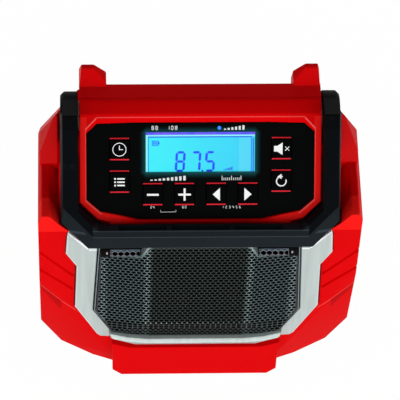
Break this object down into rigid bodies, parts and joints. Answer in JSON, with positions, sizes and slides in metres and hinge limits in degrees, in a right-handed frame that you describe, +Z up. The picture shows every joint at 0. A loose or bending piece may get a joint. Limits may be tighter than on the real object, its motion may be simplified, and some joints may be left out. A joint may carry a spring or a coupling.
{
  "type": "jobsite radio",
  "caption": "Cordless jobsite radio with a sloping lit control panel, push keys, faceted speaker grille, folding bail handle and a slide-in battery pack at the back.",
  "frame": {"origin": "on the ground, under the centre of the radio's outer box with the handle folded forward", "axes": "+Z up, -Y out of the front with the speaker grille and panel, +X to the right seen from the front"},
  "size_m": [0.168, 0.117, 0.1905],
  "materials": {
    "red_shell": "semi-gloss moulded red",
    "red_bumper": "semi-gloss moulded red",
    "silver_trim": "satin silver-grey paint",
    "black_satin": "satin black",
    "black_handle": "satin black with fine grain",
    "grille_metal": "black perforated sheet",
    "fascia_black": "smooth black",
    "key_black": "satin black key",
    "clear_lens": "clear polished window",
    "lcd_glass": "backlit cyan display",
    "diffuser": "milky diffuser",
    "rubber": "matte black rubber",
    "circuit_board": "green solder mask",
    "steel": "bright steel",
    "steel_black": "black zinc",
    "nylon": "natural nylon",
    "ferrite": "dull ferrite",
    "cone_paper": "treated paper",
    "copper": "enamelled copper wire",
    "brass": "plated contact",
    "aluminium": "extruded aluminium",
    "battery_black": "textured black",
    "cell_wrap": "shrink wrap"
  },
  "bodies": {
    "radio": {"am_coil": "copper", "am_ferrite_rod": "ferrite", "aux_socket": "black_satin", "backlight_diffuser": "diffuser", "battery_terminals": "brass", "board_components": "black_satin", "control_board": "circuit_board", "control_fascia": "fascia_black", "dc_socket": "black_satin", "flap_pin": "steel", "front_housing": "red_shell", "grille_bezel": "black_satin", "heat_sink": "aluminium", "housing_screws": "steel", "keypad_mat": "rubber", "lcd_module": "lcd_glass", "lcd_window": "clear_lens", "left_guard": "red_bumper", "left_trim": "silver_trim", "lower_trim": "silver_trim", "magnet_yoke": "steel", "main_board": "circuit_board", "pivot_bolts": "steel", "pivot_nuts": "steel", "pivot_washers": "nylon", "port_board": "circuit_board", "rear_housing": "red_shell", "right_guard": "red_bumper", "right_trim": "silver_trim", "rubber_feet": "rubber", "small_screws": "steel", "speaker_baffle": "black_satin", "speaker_basket": "steel_black", "speaker_grille": "grille_metal", "speaker_magnet": "ferrite", "speaker_spider": "cone_paper", "speaker_surround": "rubber", "tact_switches": "black_satin", "terminal_block": "black_satin", "usb_socket": "steel"},
    "handle_bail": {"handle": "black_handle", "pivot_caps": "black_satin"},
    "battery": {"battery_case_front": "battery_black", "battery_case_rear": "battery_black", "battery_cells": "cell_wrap", "battery_board": "circuit_board"},
    "battery_latch": {"battery_release": "red_bumper"},
    "flap": {"port_flap": "rubber"},
    "cone": {"speaker_cone": "cone_paper", "voice_coil": "copper", "dust_cap": "cone_paper"},
    "button_clock_key": {"button_clock": "key_black"},
    "button_channel_key": {"button_channel": "key_black"},
    "button_mute_key": {"button_mute": "key_black"},
    "button_mode_key": {"button_mode": "key_black"},
    "button_volume_down_key": {"button_volume_down": "key_black"},
    "button_volume_up_key": {"button_volume_up": "key_black"},
    "button_seek_down_key": {"button_seek_down": "key_black"},
    "button_seek_up_key": {"button_seek_up": "key_black"}
  },
  "joints": [
    {"name": "handle_swing", "type": "hinge", "parent": "radio", "child": "handle_bail", "pos_m": [0, -0.002, 0.1725], "axis": [-1, 0, 0], "range_deg": [0, 150]},
    {"name": "battery_slide", "type": "slide", "parent": "radio", "child": "battery", "axis": [0, 0, 1], "range_m": [0, 0.045]},
    {"name": "battery_latch_press", "type": "slide", "parent": "battery", "child": "battery_latch", "axis": [0, -1, 0], "range_m": [0, 0.002], "stiffness_N_per_m": 800},
    {"name": "port_flap_hinge", "type": "hinge", "parent": "radio", "child": "flap", "pos_m": [0.062, 0.0489, 0.06705], "axis": [-1, 0, 0], "range_deg": [0, 100]},
    {"name": "cone_travel", "type": "slide", "parent": "radio", "child": "cone", "axis": [0, -1, 0], "range_m": [-0.0015, 0.0015], "stiffness_N_per_m": 1500},
    {"name": "button_clock_press", "type": "slide", "parent": "radio", "child": "button_clock_key", "axis": [0, 0.7431, -0.6691], "range_m": [0, 0.0007], "stiffness_N_per_m": 700},
    {"name": "button_channel_press", "type": "slide", "parent": "radio", "child": "button_channel_key", "axis": [0, 0.7431, -0.6691], "range_m": [0, 0.0007], "stiffness_N_per_m": 700},
    {"name": "button_mute_press", "type": "slide", "parent": "radio", "child": "button_mute_key", "axis": [0, 0.7431, -0.6691], "range_m": [0, 0.0007], "stiffness_N_per_m": 700},
    {"name": "button_mode_press", "type": "slide", "parent": "radio", "child": "button_mode_key", "axis": [0, 0.7431, -0.6691], "range_m": [0, 0.0007], "stiffness_N_per_m": 700},
    {"name": "button_volume_down_press", "type": "slide", "parent": "radio", "child": "button_volume_down_key", "axis": [0, 0.7431, -0.6691], "range_m": [0, 0.0007], "stiffness_N_per_m": 700},
    {"name": "button_volume_up_press", "type": "slide", "parent": "radio", "child": "button_volume_up_key", "axis": [0, 0.7431, -0.6691], "range_m": [0, 0.0007], "stiffness_N_per_m": 700},
    {"name": "button_seek_down_press", "type": "slide", "parent": "radio", "child": "button_seek_down_key", "axis": [0, 0.7431, -0.6691], "range_m": [0, 0.0007], "stiffness_N_per_m": 700},
    {"name": "button_seek_up_press", "type": "slide", "parent": "radio", "child": "button_seek_up_key", "axis": [0, 0.7431, -0.6691], "range_m": [0, 0.0007], "stiffness_N_per_m": 700}
  ]
}
